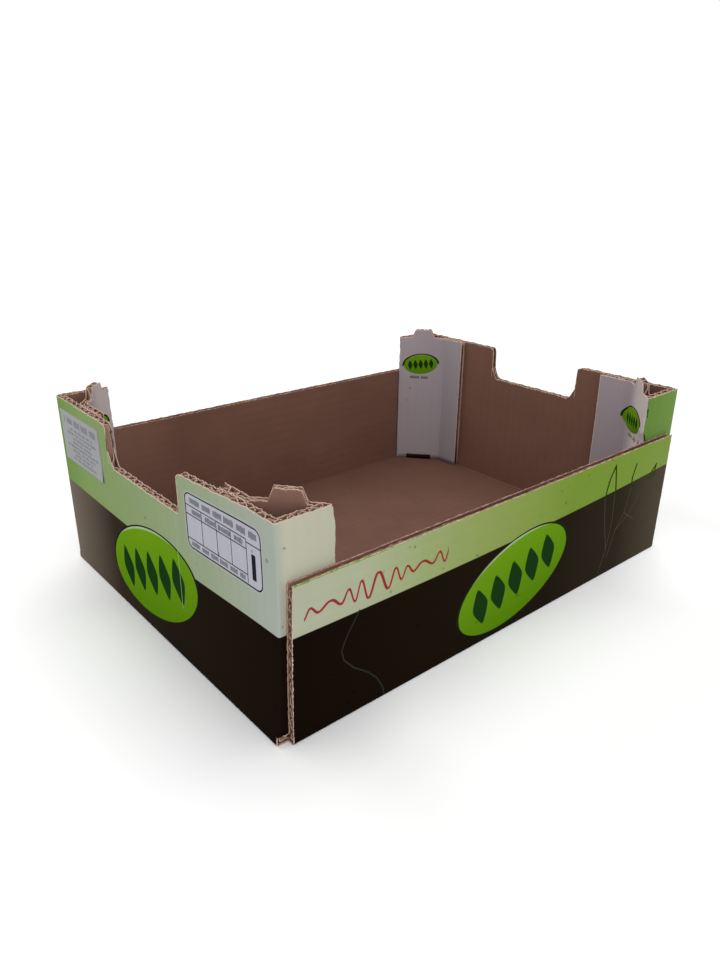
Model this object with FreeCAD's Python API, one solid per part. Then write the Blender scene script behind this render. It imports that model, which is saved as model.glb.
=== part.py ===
import FreeCAD, Part
import math
import os

from FreeCAD import Vector

# A stacking tray box, folded from one die-cut sheet of corrugated board.
# Millimetres, +Z up. The origin is the middle of the footprint, on the surface
# that the tray stands on. The long walls run along X, the end walls along Y.

# Corrugated board
board = 5.0                    # thickness of the sheet
facing = 0.7                   # thickness of the paper on each side of the flutes
flute_wall = 0.9               # thickness of the wavy paper between them
flute_pitch = 8.4              # one full wave
flute_depth = 6.0              # how far a cut edge is open
groove_depth = 2.5             # how far an edge cut along the flutes is open
groove_margin = 0.4            # paper and crushed flute left beside such a groove
groove_end = 6.0               # from a groove's end to the end of its edge
fold_radius = 1.5              # outside radius of a fold
fold_reach = 3.0               # how far from a fold the flutes are crushed

# Tray
tray_length = 400.0
tray_width = 300.0
long_wall_height = 104.0
long_wall_inset = 8.0          # from each end of the tray to the long wall's cut edge
low_height = 110.0             # end wall between its posts
post_height = 140.0
post_corner_radius = 4.0
step_radius = 2.0              # foot of a post's edge that has no flare
glue_gap = 0.3                 # thickness of the glue between two layers
under_flap_gap = 0.6           # between a flap's lower edge and the bottom panel

# Corner posts: width on the end wall, and whether the edge flares at its foot
broad_post = 98.0
slim_post = 91.0
flare_width = 8.0
flare_height = 12.0

# Corner column: flap, diagonal and glue panel, seen from above
flap_length = 42.5             # along the long wall, from the outer corner
diagonal_reach = 36.0          # where the diagonal meets the end wall
broad_glue_panel_end = 60.0
slim_glue_panel_end = 66.0

# Stacking tab on the diagonal, and the slot in the bottom for the tray below
tab_centre = 26.2              # from the flap's fold, along the diagonal
tab_base = 23.4
tab_top = 17.0
tab_height = 8.0
tab_radius = 2.0               # corners of the tab and of the notch
slot_length = 27.0
slot_width = 5.5
slot_rise = 9.5                # height of the notch in the diagonal's foot

# Glue spots and paper label
glue_bead_width = 5.0
glue_bead_height = 22.0
flap_bead_distance = 27.0      # from the outer corner, along the long wall
flap_bead_heights = (18.0, 68.0)
column_bead_inset = 11.0       # from the glue panel's free edge
column_bead_heights = (25.0, 92.0)
label_width = 71.5
label_height = 40.0
label_thickness = 0.15
label_edge = 6.0               # from the outer corner to the label
label_foot = 91.8              # height of the label's lower edge
label_turn = 0.6               # degrees, because it was stuck on by hand

half_length = tray_length / 2
half_width = tray_width / 2
flap_face = half_width - board - glue_gap          # outer face of the corner flaps
panel_face = 2 * board + glue_gap                  # inner face of a glue panel
flap_foot = board + under_flap_gap
beyond = 20.0                                      # how far a slot's cutting tool overshoots
overshoot = 1.0                                    # the same for a pocket or groove


def outline(corners):
    """Closed wire through corners (point, radius), with an arc at each radius over zero."""
    starts, ends, middles = [], [], []
    count = len(corners)
    for i in range(count):
        point, radius = corners[i]
        back = (corners[i - 1][0] - point).normalize()
        ahead = (corners[(i + 1) % count][0] - point).normalize()
        half = back.getAngle(ahead) / 2
        run = radius / math.tan(half)
        bisector = (back + ahead).normalize()
        starts.append(point + back * run)
        ends.append(point + ahead * run)
        middles.append(point + bisector * (radius / math.sin(half) - radius))
    edges = []
    for i in range(count):
        if corners[i][1] > 0:
            edges.append(Part.Arc(starts[i], middles[i], ends[i]).toShape())
        following = starts[(i + 1) % count]
        if ends[i].distanceToPoint(following) > 1e-6:
            edges.append(Part.makeLine(ends[i], following))
    return Part.Wire(edges)


def slab(corners, thickness):
    """Solid from an outline, pushed along the vector thickness."""
    return Part.Face(outline(corners)).extrude(thickness)


def box(low, high):
    """Box between two opposite corners given in any order."""
    a = Vector(*[min(pair) for pair in zip(low, high)])
    b = Vector(*[max(pair) for pair in zip(low, high)])
    size = b - a
    return Part.makeBox(size.x, size.y, size.z, a)


def trough(half, height, plane, length):
    """Bottom and two upright walls as one folded strip, centred, along the third axis."""
    inner = half - board
    profile = [
        (-half, height, 0), (-half, 0, fold_radius), (half, 0, fold_radius), (half, height, 0),
        (inner, height, 0), (inner, board, 0), (-inner, board, 0), (-inner, height, 0),
    ]
    if plane == "x":
        corners = [(Vector(across, -length / 2, z), r) for across, z, r in profile]
        return slab(corners, Vector(0, length, 0))
    corners = [(Vector(-length / 2, across, z), r) for across, z, r in profile]
    return slab(corners, Vector(length, 0, 0))


class Corner:
    """One corner of the tray. Local u runs from the end wall inwards along X, and
    local v from the flap's outer face inwards along Y."""

    def __init__(self, side_x, side_y, post, panel_end, flared):
        self.side_x = side_x
        self.side_y = side_y
        self.post = post
        self.panel_end = panel_end
        self.flared = flared
        self.fold = (flap_length, 0.0)
        run = (panel_face - flap_length, diagonal_reach)
        self.diagonal_length = math.hypot(*run)
        self.along = (run[0] / self.diagonal_length, run[1] / self.diagonal_length)
        self.into_column = (-self.along[1], self.along[0])

    def place(self, u, v, z):
        return Vector(self.side_x * (half_length - u), self.side_y * (flap_face - v), z)

    def on_diagonal(self, s, depth, z):
        """Point s along the diagonal from the flap's fold, depth into the column."""
        u = self.fold[0] + self.along[0] * s + self.into_column[0] * depth
        v = self.fold[1] + self.along[1] * s + self.into_column[1] * depth
        return self.place(u, v, z)

    def kraft_point(self, v=None, u=None):
        """Where the diagonal's inner face reaches the given v or u."""
        start_u = self.fold[0] + self.into_column[0] * board
        start_v = self.fold[1] + self.into_column[1] * board
        if v is not None:
            return start_u + self.along[0] * (v - start_v) / self.along[1], v
        return u, start_v + self.along[1] * (u - start_u) / self.along[0]

    def strip(self):
        """End wall's corner, flap, diagonal and glue panel as one folded strip."""
        back_face = board + glue_gap
        flap_inside = self.kraft_point(v=board)
        panel_inside = self.kraft_point(u=back_face)
        plan = [
            (0, 2 * fold_reach, 0), (0, 0, fold_radius),
            (self.fold[0], 0, fold_radius), (panel_face, diagonal_reach, 0),
            (panel_face, self.panel_end, 0), (back_face, self.panel_end, 0),
            (panel_inside[0], panel_inside[1], fold_radius), (flap_inside[0], flap_inside[1], 0),
            (board, board, 0), (board, 2 * fold_reach, 0),
        ]
        corners = [(self.place(u, v, flap_foot), r) for u, v, r in plan]
        return slab(corners, Vector(0, 0, post_height - flap_foot))

    def tab(self):
        """Tapered tab that stands on the diagonal and enters the tray above."""
        foot = tab_base / 2
        head = tab_top / 2
        profile = [
            (-foot, -board, 0), (foot, -board, 0), (foot, 0, 0), (head, tab_height, tab_radius),
            (-head, tab_height, tab_radius), (-foot, 0, 0),
        ]
        corners = [(self.on_diagonal(tab_centre + s, 0, post_height + z), r) for s, z, r in profile]
        return slab(corners, self.on_diagonal(0, board, 0) - self.on_diagonal(0, 0, 0))

    def slot(self):
        """Slot through the bottom and notch in the diagonal's foot, for the tab below."""
        play = (slot_width - board) / 2
        half = slot_length / 2
        profile = [
            (-half, -beyond, 0), (half, -beyond, 0), (half, slot_rise, tab_radius), (-half, slot_rise, tab_radius),
        ]
        corners = [(self.on_diagonal(tab_centre + s, -play, z), r) for s, z, r in profile]
        return slab(corners, self.on_diagonal(0, board + play, 0) - self.on_diagonal(0, -play, 0))


def end_wall(side_x, corners):
    """Upright end wall with a post at each side and a low middle, all one panel."""
    points = []
    for corner in corners:
        edge = flap_face - corner.post
        part = [
            (flap_face - 2 * fold_reach, fold_reach, 0), (flap_face - 2 * fold_reach, post_height, 0),
            (edge, post_height, post_corner_radius),
        ]
        if corner.flared:
            part += [(edge, low_height + flare_height, flare_height / 2),
                     (edge - flare_width, low_height, flare_width / 2)]
        else:
            part += [(edge, low_height, step_radius)]
        part = [(corner.side_y * y, z, r) for y, z, r in part]
        points += part if not points else part[::-1]
    x = side_x * half_length
    wire = [(Vector(x, y, z), r) for y, z, r in points]
    return slab(wire, Vector(-side_x * board, 0, 0))


def edge_height(y, corners):
    """Height of an end wall's top edge at y."""
    for corner in corners:
        inwards = corner.side_y * y - (flap_face - corner.post)
        if inwards > 0:
            return post_height
        if corner.flared and inwards > -flare_width:
            return low_height + flare_height * (1 + inwards / flare_width) ** 2
    return low_height


def flutes(length):
    """Cross-sections of the hollows along an edge of the given length: triangles that
    open to one facing and the other in turn, as (distance, depth) corners."""
    near = facing
    far = board - facing
    half = flute_pitch / 2
    lean = flute_wall / 2 * math.hypot(half, far - near) / (far - near)
    sections = []
    count = int(length / half)
    start = (length - count * half) / 2
    for i in range(count - 1):
        apex = start + (i + 1) * half
        base, tip = (near, far) if i % 2 else (far, near)
        sections.append([(apex - half + lean, base), (apex + half - lean, base), (apex, tip)])
        tall = abs(far - near)
        shorten = lean / half * tall
        sections[-1][2] = (apex, tip - math.copysign(shorten, tip - base))
    return sections


def pocket(section, place, depth):
    """Hollow with the given section, from just outside an edge to depth inside it."""
    wire = Part.makePolygon([place(d, t) for d, t in section + section[:1]])
    return Part.Face(wire).extrude(depth)


def end_wall_pockets(side_x, corners):
    found = []
    length = 2 * (flap_face - fold_reach)
    for section in flutes(length):
        middle = sum(d for d, t in section) / 3 - length / 2
        top = edge_height(middle, corners)

        def place(distance, depth):
            return Vector(side_x * (half_length - depth), distance - length / 2, top + overshoot)
        found.append(pocket(section, place, Vector(0, 0, -flute_depth - overshoot)))
    return found


def column_pockets(corner):
    """Open flutes on the top edges of one corner's flap, diagonal and glue panel."""
    found = []
    down = Vector(0, 0, -flute_depth - overshoot)
    top = post_height + overshoot
    flap_run = flap_length - board - 2 * fold_reach
    for section in flutes(flap_run):
        found.append(pocket(section, lambda d, t: corner.place(d + board, t, top), down))
    for section in flutes(corner.diagonal_length - 2 * fold_reach):
        middle = sum(d for d, t in section) / 3 + fold_reach
        lift = tab_height if abs(middle - tab_centre) < tab_top / 2 else 0
        found.append(pocket(section, lambda d, t: corner.on_diagonal(d + fold_reach, t, top + lift), down))
    for section in flutes(corner.panel_end - diagonal_reach - fold_reach):
        found.append(pocket(
            section, lambda d, t: corner.place(panel_face - t, d + diagonal_reach + fold_reach, top), down))
    return found


def long_wall_pockets(side_x, side_y):
    """Open flutes on a long wall's upright cut edge."""
    found = []
    x = side_x * (half_length - long_wall_inset + overshoot)
    into = Vector(-side_x * (flute_depth + overshoot), 0, 0)
    for section in flutes(long_wall_height - board - fold_reach):
        found.append(pocket(
            section, lambda d, t: Vector(x, side_y * (half_width - t), d + board + overshoot), into))
    return found


def grooves(corners):
    """Gaps between the facings where an edge is cut along the flutes."""
    found = []
    near = facing + groove_margin
    far = board - facing - groove_margin
    reach = half_length - long_wall_inset - flute_depth - fold_reach
    for side_y in (-1, 1):
        found.append(box(
            (-reach, side_y * (half_width - near), long_wall_height + overshoot),
            (reach, side_y * (half_width - far), long_wall_height - groove_depth)))
    for corner in corners:
        foot = low_height + (flare_height if corner.flared else 0) + fold_reach
        edge = flap_face - corner.post
        found.append(box(
            (corner.side_x * (half_length - near), corner.side_y * (edge - overshoot), foot),
            (corner.side_x * (half_length - far), corner.side_y * (edge + groove_depth), post_height - groove_end)))
        edge = corner.panel_end
        a = corner.place(panel_face - near, edge + overshoot, long_wall_height)
        b = corner.place(panel_face - far, edge - groove_depth, post_height - groove_end)
        found.append(box((a.x, a.y, a.z), (b.x, b.y, b.z)))
    return found


def folded_tray(corners):
    """The whole sheet: bottom, two long walls, two end walls and four corner columns."""
    long_walls = trough(half_width, long_wall_height, "y", 2 * (half_length - long_wall_inset))
    ends = trough(half_length, 4 * fold_reach, "x", 2 * flap_face)
    rounded = [(Vector(sx * half_length, sy * flap_face, 0), fold_radius)
               for sx, sy in ((-1, -1), (1, -1), (1, 1), (-1, 1))]
    ends = ends.common(slab(rounded, Vector(0, 0, 4 * fold_reach)))
    pieces = [ends]
    for side_x in (-1, 1):
        pieces.append(end_wall(side_x, [c for c in corners if c.side_x == side_x]))
    for corner in corners:
        pieces.append(corner.strip())
        pieces.append(corner.tab())
    tray = long_walls.multiFuse(pieces).removeSplitter()
    hollows = grooves(corners)
    for corner in corners:
        hollows.append(corner.slot())
        hollows += column_pockets(corner)
        hollows += long_wall_pockets(corner.side_x, corner.side_y)
    for side_x in (-1, 1):
        hollows += end_wall_pockets(side_x, [c for c in corners if c.side_x == side_x])
    return tray.cut(hollows)


def flap_glue(corners):
    """Beads between each corner flap and the long wall outside it."""
    beads = []
    for corner in corners:
        for z in flap_bead_heights:
            a = corner.place(flap_bead_distance - glue_bead_width / 2, 0, z)
            b = corner.place(flap_bead_distance + glue_bead_width / 2, -glue_gap, z + glue_bead_height)
            beads.append(box((a.x, a.y, a.z), (b.x, b.y, b.z)))
    return Part.makeCompound(beads)


def column_glue(corners):
    """Beads between each glue panel and the end wall behind it."""
    beads = []
    for corner in corners:
        far = corner.panel_end - column_bead_inset
        for z in column_bead_heights:
            a = corner.place(board, far, z)
            b = corner.place(board + glue_gap, far - glue_bead_width, z + glue_bead_height)
            beads.append(box((a.x, a.y, a.z), (b.x, b.y, b.z)))
    return Part.makeCompound(beads)


def paper_label():
    """Paper label stuck on the outside of the slim post at the left of the near end."""
    x = -half_length
    outer = flap_face - label_edge
    inner = outer - label_width
    sheet = box((x - label_thickness, inner, label_foot), (x, outer, label_foot + label_height))
    middle = Vector(x, (inner + outer) / 2, label_foot + label_height / 2)
    sheet.rotate(middle, Vector(1, 0, 0), label_turn)
    return sheet


def write(shape, node):
    os.makedirs("parts", exist_ok=True)
    shape.exportStep("parts/" + node + ".step")
    print(node, "solids", len(shape.Solids), "valid", shape.isValid(), "volume", round(shape.Volume, 1))


corners = [
    Corner(-1, -1, broad_post, broad_glue_panel_end, False),
    Corner(-1, 1, slim_post, slim_glue_panel_end, True),
    Corner(1, -1, slim_post, slim_glue_panel_end, True),
    Corner(1, 1, broad_post, broad_glue_panel_end, True),
]

write(folded_tray(corners), "folded_tray")
write(flap_glue(corners), "flap_glue")
write(column_glue(corners), "column_glue")
write(paper_label(), "paper_label")
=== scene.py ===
import math

import bpy
import numpy as np
from mathutils import Matrix, Vector


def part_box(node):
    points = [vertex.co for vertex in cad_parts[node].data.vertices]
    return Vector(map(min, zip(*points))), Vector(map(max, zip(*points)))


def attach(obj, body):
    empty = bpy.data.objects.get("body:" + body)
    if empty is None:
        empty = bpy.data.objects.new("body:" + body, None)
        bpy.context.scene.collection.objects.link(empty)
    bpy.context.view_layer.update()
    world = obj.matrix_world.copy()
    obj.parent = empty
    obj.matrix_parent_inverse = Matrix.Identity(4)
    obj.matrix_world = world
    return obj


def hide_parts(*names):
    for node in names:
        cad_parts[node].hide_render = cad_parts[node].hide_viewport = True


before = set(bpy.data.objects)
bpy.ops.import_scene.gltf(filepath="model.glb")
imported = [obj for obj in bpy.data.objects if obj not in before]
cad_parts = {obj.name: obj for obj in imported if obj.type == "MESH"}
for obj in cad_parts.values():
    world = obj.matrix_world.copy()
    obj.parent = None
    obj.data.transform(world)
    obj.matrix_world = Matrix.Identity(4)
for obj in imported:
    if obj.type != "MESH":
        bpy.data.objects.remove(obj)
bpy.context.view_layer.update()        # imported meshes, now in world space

trayLow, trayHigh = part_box("folded_tray")
labelLow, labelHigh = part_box("paper_label")
print("frame loaded, tray size", [round(v, 4) for v in trayHigh - trayLow])

# One sheet of single-wall board: printed facing, wavy fluting, brown facing
sheet = {
    "board": 0.005,
    "facing": 0.0005,            # paper of the two flat facings
    "fluting": 0.00045,          # paper of the wave between them
    "pitch": 0.0084,             # one full wave
    "foldRadius": 0.0015,
    "creaseRadius": 0.0012,      # where a flap is folded right back
    "tightRadius": 0.0004,       # inside of a fold
    "glueGap": 0.0003,
}
tray = {
    "postTop": 0.140,
    "postRound": 0.004,
    "lowTop": 0.110,
    "longTop": 0.104,
    "longInset": 0.008,          # from the tray's end to the long wall's cut edge
    "broadPost": 0.098,
    "slimPost": 0.091,
    "flareWidth": 0.008,         # foot of a post's free edge
    "flareHeight": 0.012,
    "footWidth": 0.002,          # small rounding where a post has no flare
    "footHeight": 0.0015,
    "flap": 0.0425,              # from the outer corner to the flap's fold
    "reach": 0.036,              # where the diagonal meets the end wall
    "broadPanel": 0.060,         # free edge of the glue panels
    "slimPanel": 0.066,
    "tabCentre": 0.0262,         # from the flap's fold, along the diagonal
    "tabFoot": 0.0234,
    "tabHead": 0.017,
    "tabHeight": trayHigh.z - 0.140,
    "tabRound": 0.0018,          # its shoulders: how far along and how deep
    "tabDrop": 0.0005,
    "slotLength": 0.027,
    "slotWidth": 0.0055,
    "slotRise": 0.0095,          # notch in the diagonal's foot
    "flapGap": 0.0006,           # between the bottom and a flap's lower edge
}
halfLength = trayHigh.x
halfWidth = trayHigh.y
flapFace = halfWidth - sheet["board"] - sheet["glueGap"]
panelFace = 2 * sheet["board"] + sheet["glueGap"]
flapFoot = sheet["board"] + tray["flapGap"]
longReach = halfLength - tray["longInset"]
same = 1e-8              # two stations this close share their points


# Colour written as screen values from 0 to 255, turned into Blender's linear values
def ink(red, green, blue):
    v = np.array([red, green, blue]) / 255
    light = np.where(v <= 0.04045, v / 12.92, ((v + 0.055) / 1.055) ** 2.4)
    return (*light.tolist(), 1.0)


# Wander of a cut edge: a sum of five sines of unlike length, scaled to amount
def wander(s, amount, seed):
    rng = np.random.default_rng(seed)
    lengths = np.array([0.047, 0.021, 0.0093, 0.0041, 0.0026])
    weights = np.array([0.5, 0.6, 0.8, 0.9, 0.6])
    phases = rng.uniform(0, 2 * math.pi, 5)
    waves = np.sin(2 * math.pi * np.asarray(s)[..., None] / lengths + phases) * weights
    return amount * waves.sum(-1) / weights.sum()


# Smooth step from 0 at low to 1 at high: 3t^2 - 2t^3
def ease(x, low, high):
    t = np.clip((np.asarray(x) - low) / (high - low), 0, 1)
    return t * t * (3 - 2 * t)


# Smooth hump: up over the first pair of places and down over the second
def between(x, rising, falling):
    return ease(x, *rising) * (1 - ease(x, *falling))


# Folded strip seen along its folds. Each straight run is moved by depth to its right, and an arc
# joins two runs: its radius is the fold's less the depth on a right turn, and the tight radius
# plus the depth on a left turn. Stations are distances along each run of the outer polygon.
# Gives points, right-hand normals, distance along the outer polygon and the run's number.
def foldedPath(points, radii, stations, depth, arcSteps=6):
    p = np.asarray(points, float)
    step = np.diff(p, axis=0)
    length = np.linalg.norm(step, axis=1)
    e = step / length[:, None]
    n = np.stack([e[:, 1], -e[:, 0]], 1)
    base = np.concatenate([[0], np.cumsum(length)[:-1]])
    cross = e[:-1, 0] * e[1:, 1] - e[:-1, 1] * e[1:, 0]
    turn = np.arctan2(cross, (e[:-1] * e[1:]).sum(1))
    right = turn < 0
    tight = sheet["tightRadius"]
    radius = np.where(right, np.maximum(np.array(radii) - depth, tight), tight + depth)
    trim = (radius + depth * np.where(right, 1, -1)) * np.tan(np.abs(turn) / 2)
    start, end = np.zeros(len(e)), length.copy()
    end[:-1] -= trim
    start[1:] += trim
    rows = []
    for k in range(len(e)):
        s = np.clip(np.concatenate([[start[k]], stations[k], [end[k]]]), start[k], end[k])
        s = np.unique(s)
        on = p[k] + n[k] * depth + e[k] * s[:, None]
        rows.append(np.column_stack([on, np.tile(n[k], (len(s), 1)), base[k] + s, np.full(len(s), k)]))
        if k < len(turn):
            centre = on[-1] + n[k] * radius[k] * (1 if right[k] else -1)
            part = np.arange(1, arcSteps) / arcSteps
            c, q = np.cos(turn[k] * part)[:, None], np.sin(turn[k] * part)[:, None]
            arm = on[-1] - centre
            around = centre + c * arm + q * np.array([-arm[1], arm[0]])
            normal = c * n[k] + q * np.array([-n[k][1], n[k][0]])
            s = base[k] + end[k] + part * (base[k + 1] + start[k + 1] - base[k] - end[k])
            rows.append(np.column_stack([around, normal, s, np.full(len(s), k + 0.5)]))
    found = np.concatenate(rows)
    return found[:, 0:2], found[:, 2:4], found[:, 4], found[:, 5]


# How the used tray has settled. Each corner post leans by its own small amount, growing with the
# square of the height; at the near broad post the fold itself stands off, from low down, by
# (z / top)^0.6 and a bulge of sin(pi z / top); the long walls bow a little between the posts;
# the near broad post is crushed lower towards its free edge; the far slim post and its flap
# are pushed inwards
settled = {
    "lean": {(-1, -1): (0.0, -0.0012), (-1, 1): (0.0006, 0.0028),
             (1, -1): (0.0002, 0.0008), (1, 1): (0.0, 0.0)},
    "bow": 0.0008,
    "crush": 0.0028,
    "push": (-0.0034, 0.0028),
    "standOff": 0.0032,
    "bulge": 0.0021,
    "ragged": 0.0009,            # wander of the flaps' folds above the long walls
    "overWall": (0.1, 0.112),    # heights between which the high parts begin to move
}


def settle(p):
    x, y, z = p[..., 0], p[..., 1], p[..., 2]
    moved = p.copy()
    share = np.clip(z / tray["postTop"], 0, 1.1)
    rise = share ** 2
    for (sideX, sideY), (leanX, leanY) in settled["lean"].items():
        weight = ease(sideX * x, 0.1, halfLength) * ease(sideY * y, 0.02, halfWidth) * rise
        moved[..., 0] += weight * leanX
        moved[..., 1] += weight * leanY
    middle = np.clip(1 - (x / 0.15) ** 2, 0, 1)
    outer = ease(np.abs(y), 0.138, 0.1445)
    moved[..., 1] += np.sign(y) * settled["bow"] * middle * outer * rise
    strip = np.abs(y) < flapFace + 0.0001       # the end strips, not the long walls outside them
    high = ease(z, *settled["overWall"])
    toFold = np.abs(np.abs(x) - halfLength + tray["flap"])
    flapFold = strip * (np.abs(y) > flapFace - 0.007) * (1 - ease(toFold, 0.002, 0.012))
    moved[..., 0] += flapFold * high * wander(z + x, settled["ragged"], 61)
    near = ease(-x, 0.1, halfLength) * ease(-y, 0.02, halfWidth)
    moved[..., 0] += settled["standOff"] * near * np.where(strip, share ** 0.6, rise)
    moved[..., 0] += settled["bulge"] * near * strip * np.sin(math.pi * np.minimum(share, 1))
    pushX, pushY = settled["push"]
    flap = high * (y < -0.1) * strip
    moved[..., 0] += pushX * flap * between(x, (0.13, 0.152), (0.165, 0.197))
    dip = 1 - np.sin(math.pi * np.clip((z - tray["longTop"]) / 0.036, 0, 1))
    moved[..., 0] += 0.6 * pushX * flap * dip * between(x, (-0.19, -0.168), (-0.15, -0.13))
    moved[..., 1] += pushY * high * ease(x, 0.185, 0.195) * between(y, (-0.09, -0.06), (-0.045, -0.02))
    freeEdge = ease(y, -0.125, -0.05) * ease(-y, 0.02, 0.046) * ease(-x, 0.19, 0.194)
    moved[..., 2] -= settled["crush"] * freeEdge * ease(z, 0.118, 0.14)
    return moved


# Grid of points with what its mesh needs; out points away from the board
def newGrid(co, uv, cut, out):
    cut, out = np.broadcast_to(cut, co.shape[:2]), np.broadcast_to(out, co.shape)
    return {"co": co, "uv": uv, "cut": cut, "out": out}


# Mesh from grids of points. Points within a hundredth of a millimetre become one, squares that
# have shrunk to a line are dropped, and faces look the way of the grid's outward vectors.
# UV "panel" holds metres across and up, and "cut" the distance to the nearest cut edge.
def gridMesh(name, grids, materials):
    points, uvs, cuts, faces = [], [], [], []
    count = 0
    for grid in grids:
        co, out = grid["co"], grid["out"]
        across, up = co.shape[:2]
        index = count + np.arange(across * up).reshape(across, up)
        quad = np.stack([index[:-1, :-1], index[1:, :-1], index[1:, 1:], index[:-1, 1:]], -1)
        quad = quad.reshape(-1, 4)
        facing = np.cross(co[1:, :-1] - co[:-1, :-1], co[:-1, 1:] - co[:-1, :-1])
        if (facing * out[:-1, :-1]).sum() < 0:
            quad = quad[:, ::-1]
        faces.append(quad)
        points.append(co.reshape(-1, 3))
        uvs.append(grid["uv"].reshape(-1, 2))
        cuts.append(grid["cut"].ravel())
        count += across * up
    points, uvs, cuts, faces = (np.concatenate(part) for part in (points, uvs, cuts, faces))
    key = np.round(points * 1e5 + 0.137).astype(np.int64)
    _, first, merged = np.unique(key, axis=0, return_index=True, return_inverse=True)
    points, uvs, cuts, faces = points[first], uvs[first], cuts[first], merged.ravel()[faces]
    equal = faces == np.roll(faces, -1, axis=1)
    quads = faces[equal.sum(1) == 0]
    quads = quads[(quads[:, 0] != quads[:, 2]) & (quads[:, 1] != quads[:, 3])]
    threes = faces[equal.sum(1) == 1][~equal[equal.sum(1) == 1]].reshape(-1, 3)
    quadSize = np.linalg.norm(np.cross(points[quads[:, 2]] - points[quads[:, 0]],
                                       points[quads[:, 3]] - points[quads[:, 1]]), axis=1) / 2
    threeSize = np.linalg.norm(np.cross(points[threes[:, 1]] - points[threes[:, 0]],
                                        points[threes[:, 2]] - points[threes[:, 0]]), axis=1) / 2
    quads, threes = quads[quadSize > 1e-10], threes[threeSize > 1e-10]
    corners = np.concatenate([quads.ravel(), threes.ravel()])
    used, corners = np.unique(corners, return_inverse=True)
    points, uvs, cuts = settle(points[used]), uvs[used], cuts[used]
    sizes = np.concatenate([np.full(len(quads), 4), np.full(len(threes), 3)])
    mesh = bpy.data.meshes.new(name)
    mesh.vertices.add(len(points))
    mesh.vertices.foreach_set("co", points.astype(np.float32).ravel())
    mesh.loops.add(len(corners))
    mesh.loops.foreach_set("vertex_index", corners.astype(np.int32))
    mesh.polygons.add(len(sizes))
    mesh.polygons.foreach_set("loop_start", (np.cumsum(sizes) - sizes).astype(np.int32))
    mesh.uv_layers.new(name="panel").data.foreach_set("uv", uvs[corners].astype(np.float32).ravel())
    mesh.attributes.new("cut", "FLOAT", "POINT").data.foreach_set("value", cuts.astype(np.float32))
    mesh.update(calc_edges=True)
    mesh.validate()
    for material in materials:
        mesh.materials.append(material)
    piece = bpy.data.objects.new(name, mesh)
    bpy.context.scene.collection.objects.link(piece)
    return piece


# Paper gets its thickness, behind a facing (offset -1) or both ways on the fluting (offset 0)
def thicken(piece, thickness, offset):
    paper = piece.modifiers.new("paper", "SOLIDIFY")
    paper.thickness = thickness
    paper.offset = offset
    paper.material_offset = 1
    paper.material_offset_rim = 2
    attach(piece, "root")
    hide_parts("folded_tray")
    return piece


origin = (0, 0, 0)


# Short forms for shader nodes: a value may be a number or another node's output
def setInputs(tree, node, values):
    for key, value in values.items():
        if isinstance(value, bpy.types.NodeSocket):
            tree.links.new(value, node.inputs[key])
        else:
            node.inputs[key].default_value = value
    return node


def addNode(tree, kind, values=None, **settings):
    node = tree.nodes.new(kind)
    for name, value in settings.items():
        setattr(node, name, value)
    return setInputs(tree, node, values or {})


def maths(tree, operation, *values, clamp=False):
    inputs = dict(enumerate(values))
    return addNode(tree, "ShaderNodeMath", inputs, operation=operation, use_clamp=clamp).outputs[0]


def linear(tree, x, gain, shift, clamp=False):      # x gain + shift
    return maths(tree, "MULTIPLY_ADD", x, gain, shift, clamp=clamp)


def over(tree, x, edge, steep):                     # 0 up to the edge, then rising to 1
    return linear(tree, x, steep, -edge * steep, clamp=True)


def under(tree, x, edge, steep):                    # falling from 1 to 0 at the edge
    return linear(tree, x, -steep, edge * steep, clamp=True)


def minus(tree, a, b):
    return maths(tree, "SUBTRACT", a, b)


def size(tree, x):
    return maths(tree, "ABSOLUTE", x)


def times(tree, *factors):
    total = factors[0]
    for factor in factors[1:]:
        total = maths(tree, "MULTIPLY", total, factor)
    return total


def vectors(tree, operation, *values):
    node = addNode(tree, "ShaderNodeVectorMath", dict(enumerate(values)), operation=operation)
    return node.outputs["Value" if operation in ("LENGTH", "DOT_PRODUCT", "DISTANCE") else "Vector"]


def scaled(tree, vector, scale):
    return addNode(tree, "ShaderNodeVectorMath", {0: vector, "Scale": scale}, operation="SCALE").outputs[0]


def parts(tree, vector):
    return addNode(tree, "ShaderNodeSeparateXYZ", {0: vector}).outputs


def joined(tree, *values):
    return addNode(tree, "ShaderNodeCombineXYZ", dict(enumerate(values))).outputs[0]


def objectAt(tree):
    return addNode(tree, "ShaderNodeTexCoord").outputs["Object"]


def noise(tree, at, scale, detail=2.0, rough=0.5):
    values = {"Vector": at, "Scale": scale, "Detail": detail, "Roughness": rough}
    return addNode(tree, "ShaderNodeTexNoise", values).outputs[0]


def chanceOf(tree, kind, **values):                 # white noise of a cell
    return addNode(tree, "ShaderNodeTexWhiteNoise", values, noise_dimensions=kind).outputs[0]


def blendInk(tree, factor, lower, upper, mode="MIX"):
    values = {0: factor, 6: lower, 7: upper}
    return addNode(tree, "ShaderNodeMix", values, data_type="RGBA", blend_type=mode).outputs[2]


# Bump from a height between about 0 and 1, with the distance that 1 stands for in metres
def addBump(tree, shader, height, distance, strength=1.0):
    bump = addNode(tree, "ShaderNodeBump", {"Height": height, "Strength": strength, "Distance": distance})
    tree.links.new(bump.outputs[0], shader.inputs["Normal"])


# Ink along a line: stops are (millimetres, colour)
def gradient(tree, value, stops):
    low, high = stops[0][0], stops[-1][0]
    ramp = addNode(tree, "ShaderNodeValToRGB", {0: over(tree, value, low, 1 / (high - low))})
    band = ramp.color_ramp
    for number, (place, colour) in enumerate(stops):
        where = (place - low) / (high - low)
        stop = band.elements[number] if number < 2 else band.elements.new(where)
        stop.position = where
        stop.color = ink(*colour)
    return ramp.outputs[0]


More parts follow.
